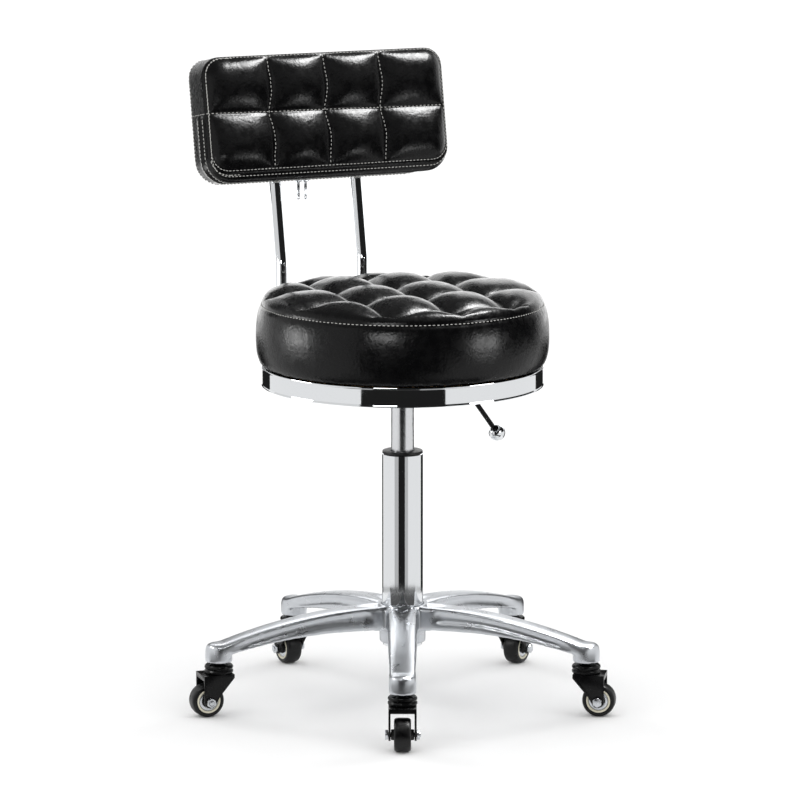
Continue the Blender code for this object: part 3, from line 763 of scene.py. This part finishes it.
def blow_up(made, held, pressure, cap):
    """Swell a closed skin from inside, with its seams held, and apply the result."""
    before = coordinates(made.data)
    group = made.vertex_groups.new(name="held")
    for index, weight in enumerate(held):
        if weight > 0.02:
            group.add([index], float(weight), "REPLACE")
    cloth = made.modifiers.new("cloth", "CLOTH")
    cloth.settings.quality = 4
    cloth.settings.mass = 0.25
    cloth.settings.tension_stiffness = 18
    cloth.settings.compression_stiffness = 18
    cloth.settings.bending_stiffness = 1.2
    cloth.settings.use_pressure = True
    cloth.settings.uniform_pressure_force = pressure
    cloth.settings.vertex_group_mass = "held"
    cloth.settings.effector_weights.gravity = 0
    cloth.point_cache.frame_start = 1
    cloth.point_cache.frame_end = CLOTH_FRAMES
    for number in range(1, CLOTH_FRAMES + 1):
        scene.frame_set(number)
    graph = bpy.context.evaluated_depsgraph_get()
    swollen = coordinates(made.evaluated_get(graph).data)
    made.modifiers.clear()
    made.vertex_groups.clear()
    scene.frame_set(1)
    moved = swollen - before
    length = np.linalg.norm(moved, axis=1)
    moved *= (np.minimum(length, cap) / np.maximum(length, 1e-9))[:, None]
    set_coordinates(made.data, before + moved)


def subdivided(made):
    smooth = made.modifiers.new("smooth", "SUBSURF")
    smooth.levels = 1
    smooth.render_levels = 1
    applied(made)


def glossy_leather():
    """Synthetic leather: a pebbled black skin under a clear glossy topcoat. The real pebble is
    about 1 mm, and it is drawn at 3 mm so that it shows."""
    made, tree, shader = shader_of("glossy_black_leather", "#060607", 0.26, specular=0.22)
    place = add(tree, "ShaderNodeTexCoord")
    pebble = add(tree, "ShaderNodeTexVoronoi", {"Vector": place.outputs["Object"],
                                                "Scale": 1000.0 / 3.0}, feature="SMOOTH_F1")
    crease = grain(tree, 12, 5)
    height = add(tree, "ShaderNodeMath", {0: pebble.outputs["Distance"], 1: crease},
                 operation="ADD")
    relief(tree, shader, height.outputs["Value"], 0.40, 0.42)
    uneven(tree, shader, grain(tree, 9, 4), 0.20, 0.34)
    return made


def sewing_thread():
    """Twisted white polyester thread, slightly soiled."""
    made, tree, shader = shader_of("white_polyester_thread", "#C6C5C1", 0.60)
    relief(tree, shader, grain(tree, 1.0, 1), 0.10, 0.8)
    return made


leather = glossy_leather()
thread = sewing_thread()

cover = [(0, 0.4303), (0.1610, 0.4303), (0.1610, 0.4178), (0.1650, 0.4174), (0.1705, 0.4182),
         (0.1738, 0.4250), (0.1760, 0.4340), (0.1768, 0.4450), (0.1768, 0.4610), (0.1758, 0.4730),
         (0.1738, 0.4830), (RIM_R + 0.0014, RIM_Z), (0.1692, 0.4956), (0.1650, 0.5020),
         (0.1570, 0.5075), (0.1420, 0.5120), (0.1000, 0.5145), (0, 0.5155)]
pad = finished("tufted_seat_cushion", placed(spun(cover, 96, closed=False), at_axis), leather,
               "seat", ["seat_cushion"], sharp=0)
voxel_remesh(pad, SEAT_VOXEL)
skin = coordinates(pad.data)
x, y = skin[:, 0] - AXIS.x, skin[:, 1] - AXIS.y
radius = np.hypot(x, y)
on_top = fade(skin[:, 2], 0.484, 0.492) * (1 - fade(radius, 0.152, 0.168))
to_x, to_y = nearest_line(x, SEAM_X), nearest_line(y, SEAM_Y)
to_seam, to_knot = np.minimum(to_x, to_y), np.hypot(to_x, to_y)
sunk = 0.0135 * (1 - pillow(to_x, SEAT_PILLOW) * pillow(to_y, SEAT_PILLOW))
sunk += 0.0035 * np.exp(-(to_knot / 0.018) ** 2)
skin[:, 2] -= on_top * sunk
set_coordinates(pad.data, skin)
under = 1 - fade(skin[:, 2], 0.420, 0.436)
rim = np.exp(-((radius - RIM_R) / 0.005) ** 2) * fade(skin[:, 2], 0.478, 0.486)
seams = on_top * np.exp(-(to_seam / 0.0055) ** 2)
held = np.clip(np.maximum.reduce([under, rim, seams]), 0, 1)
blow_up(pad, held, SEAT_PRESSURE, SEAT_SWELL)
subdivided(pad)
skin = coordinates(pad.data)
x, y = skin[:, 0] - AXIS.x, skin[:, 1] - AXIS.y
radius = np.hypot(x, y)
on_top = fade(skin[:, 2], 0.480, 0.488) * (1 - fade(radius, 0.160, 0.169))
to_seam = np.minimum(nearest_line(x, SEAM_X), nearest_line(y, SEAM_Y))
skin[:, 2] -= on_top * 0.0022 * np.exp(-(to_seam / 0.0028) ** 2)
groove = 0.0014 * np.exp(-((skin[:, 2] - RIM_Z) / 0.0024) ** 2) * fade(radius, 0.164, 0.169)
skin[:, 0] -= groove * x / np.maximum(radius, 1e-6)
skin[:, 1] -= groove * y / np.maximum(radius, 1e-6)
set_coordinates(pad.data, skin)
pad.data.shade_smooth()


def stitch(target, place, along, outward, length=0.0036, width=0.0010):
    """One short bar of thread, half sunk in the leather."""
    side = along.cross(outward).normalized()
    basis = Matrix((along, side, along.cross(side))).transposed().to_4x4()
    size = Matrix.Diagonal((length / 2, width / 2, width / 2, 1))
    bmesh.ops.create_uvsphere(target, u_segments=6, v_segments=4, radius=1.0,
                              matrix=Matrix.Translation(place) @ basis @ size)


def surface_of(made):
    bm = bmesh.new()
    bm.from_mesh(made.data)
    tree = BVHTree.FromBMesh(bm)
    bm.free()
    return tree


def sew(target, surface, start_points, toward, pitch=0.0050, lift=0.0005):
    """Lay stitches along a line of points that are dropped on the surface."""
    found = []
    for point in start_points:
        hit, normal, _, _ = surface.ray_cast(point, toward(point))
        if hit:
            found.append((hit, normal))
    travelled = 0.0
    for (a, normal), (b, _) in zip(found, found[1:]):
        step = (b - a).length
        if step > 0.012:
            travelled = 0.0
            continue
        travelled += step
        if travelled >= pitch:
            travelled = 0.0
            stitch(target, (a + b) / 2 + normal * lift, (b - a).normalized(), normal)


seat_skin = surface_of(pad)
seat_thread = bmesh.new()
around = [AXIS + Vector((0.25 * math.cos(a), 0.25 * math.sin(a), RIM_Z + 0.0002))
          for a in np.linspace(0, math.tau, 1400)]
sew(seat_thread, seat_skin, around,
    lambda point: (AXIS + Vector((0, 0, point.z)) - point).normalized(), 0.0048)
finished("seat_stitching", seat_thread, thread, "seat", sharp=0)

# ---------------------------------------------------------------- backrest posts
# Two 16 mm chromed steel tubes run back from a channel under the seat board, turn up behind
# the cushion, and lean back into the backrest.

cushion_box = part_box("back_cushion")
BACK_LEAN = math.radians(10.5)
BACK_MIDDLE = AXIS + Vector((0, 0.222, 0.701))
POST_R = 0.008
POST_DEPTH = 0.0504
POST_PLANE = 0.2383


def back_point(x, depth, height):
    """A place in the backrest: depth goes back from its front face, height up its lean."""
    backward = Vector((0, math.cos(BACK_LEAN), -math.sin(BACK_LEAN)))
    upward = Vector((0, math.sin(BACK_LEAN), math.cos(BACK_LEAN)))
    return BACK_MIDDLE + Vector((x, 0, 0)) + backward * depth + upward * height


for name in ("back_post_left", "back_post_right"):
    post_low, post_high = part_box(name)
    x = (post_low.x + post_high.x) / 2 - AXIS.x
    foot_z = post_low.z + POST_R
    top = back_point(x, POST_DEPTH, 0.040)
    corners = [Vector((x + AXIS.x, post_low.y, foot_z)), AXIS + Vector((x, POST_PLANE, foot_z)),
               AXIS + Vector((x, POST_PLANE, 0.512)), top]
    finished(f"chrome_{name[5:]}", bent_bar(bends(corners, 0.045, 20), POST_R, 40), chrome, "seat",
             [name])

# ---------------------------------------------------------------- backrest
# Foam on a plywood board in the same leather. Four by two pillows are sewn into the front.
# A row of stitching runs round it, more rows lie along its foot and on the side band, and a zip
# goes down one side and along the bottom.

BACK_HALF_W = (cushion_box[1].x - cushion_box[0].x) / 2
BACK_DEPTH = 0.062
BACK_TOP = 0.0725
BACK_BOTTOM = -0.0810
BACK_SEAM_X = (-0.0752, 0.0, 0.0752)
FRONT_HALF_W, FRONT_LOW, FRONT_HIGH, FRONT_CORNER = 0.1588, -0.0674, 0.0704, 0.022
BACK_VOXEL, BACK_PRESSURE, BACK_SWELL = 0.0042, 3.4, 0.0048
BACK_PILLOW, EDGE_PILLOW = 0.0150, 0.0110
SIDE_BEND = 0.024
ZIP_DEPTH, ZIP_END, ROW_GAP = 0.026, 0.115, 0.0075
COVER_SHIFT = 0.0045
to_back = (Matrix.Translation(BACK_MIDDLE + Vector((COVER_SHIFT, 0, 0)))
           @ Matrix.Rotation(-BACK_LEAN, 4, "X"))


def cube_at(middle, size):
    bm = bmesh.new()
    bmesh.ops.create_cube(bm, size=1, matrix=Matrix.Translation(middle) @ Matrix.Diagonal((*size, 1)))
    return bm


block_size = Vector((2 * BACK_HALF_W + 0.001, BACK_DEPTH - 0.004, BACK_TOP - BACK_BOTTOM + 0.001))
block_middle = Vector((0, BACK_DEPTH / 2 + 0.001, (BACK_TOP + BACK_BOTTOM) / 2))
block = cube_at(block_middle, block_size)
for side, bend in ((1, 0.023), (-1, 0.030)):
    upright = [e for e in block.edges if abs(e.verts[0].co.y - e.verts[1].co.y) > 0.01
               and side * (e.verts[0].co.z - block_middle.z) > 0.06]
    ease(block, upright, bend, 8)
rims = [e for e in block.edges if abs(e.verts[0].co.y - e.verts[1].co.y) < 1e-5
        and len(e.link_faces) == 2 and e.calc_face_angle(0) > 0.8]
ease(block, rims, 0.0045, 3)
rest = finished("backrest_cushion", block, leather, "seat", ["back_cushion"],
                sharp=0)
voxel_remesh(rest, BACK_VOXEL)


def inset_from_edge(points):
    """How far in from the front panel's outline each point lies, seen from the front."""
    middle_z, half_h = (FRONT_HIGH + FRONT_LOW) / 2, (FRONT_HIGH - FRONT_LOW) / 2
    dx = np.abs(points[:, 0]) - (FRONT_HALF_W - FRONT_CORNER)
    dz = np.abs(points[:, 2] - middle_z) - (half_h - FRONT_CORNER)
    outside = np.hypot(np.maximum(dx, 0), np.maximum(dz, 0)) + np.minimum(np.maximum(dx, dz), 0)
    return FRONT_CORNER - outside


def seam_sway(height):
    """How far an upright seam is drawn sideways by the pillows, at one height."""
    u = (height - 0.001) / 0.069
    return -0.0026 * np.cos(2 * math.pi * u) * (1 - 0.6 * np.abs(u))


def level_seam(across):
    """The height of the level seam, which runs a little higher at the sitter's right."""
    return 0.0016 - 0.0130 * across


def front_measures(points):
    """Distances to the nearest upright seam, to the level seam and to the panel's edge."""
    swayed = points[:, 0] - seam_sway(points[:, 2])
    to_level = np.abs(points[:, 2] - level_seam(points[:, 0]))
    return nearest_line(swayed, BACK_SEAM_X), to_level, inset_from_edge(points)


skin = coordinates(rest.data)
to_upright, to_level, inset = front_measures(skin)
to_knot = np.hypot(to_upright, to_level)
front = 1 - fade(skin[:, 1], 0.006, 0.014)
full = (pillow(to_upright, BACK_PILLOW) * pillow(to_level, BACK_PILLOW)
        * pillow(inset, EDGE_PILLOW))
skin[:, 1] += front * (0.0034 + 0.0020 * np.exp(-(to_knot / 0.014) ** 2) - 0.0098 * full)
skin[:, 1] += front * 0.0065 * fade(-inset, 0.002, 0.016)
rear = fade(skin[:, 1], 0.048, 0.056)
skin[:, 1] += rear * 0.004 * pillow(inset, 0.030)
set_coordinates(rest.data, skin)
seams = front * np.exp(-(np.minimum(to_upright, to_level) / 0.0050) ** 2)
welt = np.exp(-(inset / 0.0042) ** 2) * np.maximum(front, rear)
outside = 0.85 * fade(-inset, 0.001, 0.004)
sides = 0.75 * (1 - np.maximum(front, rear))
held = np.clip(np.maximum.reduce([seams, welt, sides, outside]), 0, 1)
blow_up(rest, held, BACK_PRESSURE, BACK_SWELL)
subdivided(rest)
skin = coordinates(rest.data)
to_upright, to_level, inset = front_measures(skin)
front = 1 - fade(skin[:, 1], 0.010, 0.018)
rear = fade(skin[:, 1], 0.048, 0.056)
to_seam = np.minimum(to_upright, to_level)
skin[:, 1] += front * fade(inset, 0, 0.004) * 0.0020 * np.exp(-(to_seam / 0.0026) ** 2)
skin[:, 1] += front * 0.0018 * np.exp(-(inset / 0.0022) ** 2)
foot_row = np.exp(-((inset + 0.0068) / 0.0018) ** 2)
skin[:, 1] += front * 0.0012 * foot_row * fade(-skin[:, 2], 0.055, 0.066)
skin[:, 1] -= rear * 0.0012 * np.exp(-(inset / 0.0024) ** 2)


def outward_of(points):
    """Which way each point of the side band faces, seen from the front."""
    way = np.zeros_like(points)
    middle_z, half_h = (BACK_TOP + BACK_BOTTOM) / 2, (BACK_TOP - BACK_BOTTOM) / 2
    for axis, place, half in ((0, points[:, 0], BACK_HALF_W), (2, points[:, 2] - middle_z, half_h)):
        way[:, axis] = np.sign(place) * np.maximum(np.abs(place) - (half - SIDE_BEND), 1e-5)
    return way / np.linalg.norm(way, axis=1)[:, None]


zip_side = (1 - fade(skin[:, 2], -0.004, 0.001)) * (1 - fade(skin[:, 0], -0.150, -0.134))
zip_low = (1 - fade(skin[:, 2], -0.070, -0.060)) * (1 - fade(skin[:, 0], 0.112, 0.120))
zip_run = np.maximum(zip_side, zip_low) * (1 - np.maximum(front, rear))
from_zip = skin[:, 1] - ZIP_DEPTH
slot = 0.0034 * np.exp(-(from_zip / 0.0048) ** 4)
lips = 0.0012 * np.exp(-((np.abs(from_zip) - 0.0085) / 0.003) ** 2)
skin -= outward_of(skin) * (zip_run * (slot - lips))[:, None]
set_coordinates(rest.data, skin)
rest.data.shade_smooth()

rest_skin = surface_of(rest)
rest_thread = bmesh.new()
inward = Vector((0, 1, 0))
for line in BACK_SEAM_X:
    points = [Vector((line + float(seam_sway(v)), -0.05, v))
              for v in np.linspace(FRONT_LOW, FRONT_HIGH, 220)]
    sew(rest_thread, rest_skin, points, lambda point: inward)
points = [Vector((v, -0.05, level_seam(v))) for v in np.linspace(-FRONT_HALF_W, FRONT_HALF_W, 420)]
sew(rest_thread, rest_skin, points, lambda point: inward)


def rounded_outline(half_w, low, high, bend):
    """Closely spaced points round a rounded rectangle, from its right side anticlockwise."""
    spots = []
    for cx, cz, start in ((half_w - bend, high - bend, 0), (-half_w + bend, high - bend, 90),
                          (-half_w + bend, low + bend, 180), (half_w - bend, low + bend, 270)):
        for a in np.radians(np.linspace(start, start + 90, 12)):
            spots.append(Vector((cx + bend * math.cos(a), 0, cz + bend * math.sin(a))))
    spots.append(spots[0])
    dense = []
    for a, b in zip(spots, spots[1:]):
        pieces = max(1, round((b - a).length / 0.0012))
        dense += [a.lerp(b, i / pieces) for i in range(pieces)]
    return dense


EDGE_PITCH = 0.0040
edge_row = rounded_outline(FRONT_HALF_W + 0.0004, FRONT_LOW - 0.0004, FRONT_HIGH + 0.0004,
                           FRONT_CORNER)
edge_row = [Vector((p.x, -0.05, p.z)) for p in edge_row]
sew(rest_thread, rest_skin, edge_row, lambda point: inward, EDGE_PITCH)
second_row = rounded_outline(FRONT_HALF_W + 0.0010, FRONT_LOW - 0.0072, FRONT_HIGH + 0.0010,
                             FRONT_CORNER + 0.002)
second_row = [Vector((p.x, -0.05, p.z)) for p in second_row if p.z < -0.050]
sew(rest_thread, rest_skin, second_row, lambda point: inward, EDGE_PITCH)


def sew_side(depth, keep):
    """A row on the side band, at one depth behind the front face."""
    row = rounded_outline(BACK_HALF_W + 0.02, BACK_BOTTOM - 0.02, BACK_TOP + 0.02,
                          SIDE_BEND + 0.02)
    inner = rounded_outline(BACK_HALF_W - 0.02, BACK_BOTTOM + 0.02, BACK_TOP - 0.02, 0.006)
    aims = {}
    kept = []
    for p in row:
        if keep(p):
            target = min(inner[::4], key=lambda q: (q - p).length_squared)
            start = Vector((p.x, depth, p.z))
            aims[start.to_tuple(6)] = (Vector((target.x, depth, target.z)) - start).normalized()
            kept.append(start)
    sew(rest_thread, rest_skin, kept, lambda point: aims[point.to_tuple(6)], EDGE_PITCH)


sew_side(0.0085, lambda p: p.x < -0.12)
sew_side(BACK_DEPTH - ROW_GAP, lambda p: p.x < -0.12)
sew_side(ZIP_DEPTH - ROW_GAP, lambda p: p.z < 0.0 and p.x < ZIP_END)
sew_side(ZIP_DEPTH + ROW_GAP, lambda p: p.z < 0.0 and p.x < ZIP_END)
side_points = [Vector((-0.25, v, 0.0038)) for v in np.linspace(0.004, BACK_DEPTH - 0.004, 80)]
sew(rest_thread, rest_skin, side_points, lambda point: Vector((1, 0, 0)))
finished("backrest_stitching", placed(rest_thread, to_back), thread, "seat",
         sharp=0)
rest.data.transform(to_back)

# ---------------------------------------------------------------- zip
# A closed coil zip on black tape, let into the cover between two stitched edges. Two sliders
# meet under the backrest, and each carries a thin pull that swings.


def woven_tape():
    """Black polyester tape, a matt fine weave."""
    made, tree, shader = shader_of("woven_zip_tape", "#101011", 0.75)
    relief(tree, shader, grain(tree, 1.0, 1, (1, 1, 3)), 0.15, 0.8)
    return made


tape = woven_tape()


def zip_route():
    """The zip's centreline: down the sitter's right side, round the corner and along the bottom."""
    bend = SIDE_BEND
    x_side, z_low = -BACK_HALF_W + 0.0032, BACK_BOTTOM + 0.0032
    route = [Vector((x_side, ZIP_DEPTH, v)) for v in np.linspace(-0.001, z_low + bend, 14)]
    for a in np.radians(np.linspace(180, 270, 12)):
        route.append(Vector((x_side + bend + bend * math.cos(a), ZIP_DEPTH,
                             z_low + bend + bend * math.sin(a))))
    route += [Vector((v, ZIP_DEPTH, z_low)) for v in np.linspace(x_side + bend + 0.01, ZIP_END, 30)]
    return route


TOOTH_PITCH = 0.0022
route = zip_route()
coil = bmesh.new()
gather(coil, bent_bar(route, 0.0017, 10))
for a, b in zip(route, route[1:]):
    run = b - a
    teeth = max(1, round(run.length / TOOTH_PITCH))
    for i in range(teeth):
        spot = a + run * (i / teeth)
        out = Vector((-1, 0, 0)) if spot.z > BACK_BOTTOM + 0.028 else Vector((0, 0, -1))
        stitch(coil, spot + out * 0.0012, Vector((0, 1, 0)), out, 0.0056, 0.0012)
finished("zip_coil", placed(coil, to_back), tape, "seat", sharp=0)

for side in ("left", "right"):
    name = f"zip_pull_{side}"
    pull_low, pull_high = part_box(name)
    hinge = Vector(((pull_low.x + pull_high.x) / 2, (pull_low.y + pull_high.y) / 2, pull_high.z))
    slider = cube_at(hinge + Vector((0, 0, 0.0042)), (0.0072, 0.0058, 0.0036))
    ease(slider, slider.edges[:], 0.0010, 3)
    loop = cube_at(hinge + Vector((0, 0, 0.0012)), (0.0030, 0.0024, 0.0030))
    ease(loop, loop.edges[:], 0.0006, 2)
    gather(slider, loop)
    finished(f"slider_{side}", slider, zinc, "seat")
    finished(f"eased_{name}", rounded_copy(name, 0.0003), zinc, f"pull_{side}", [name])
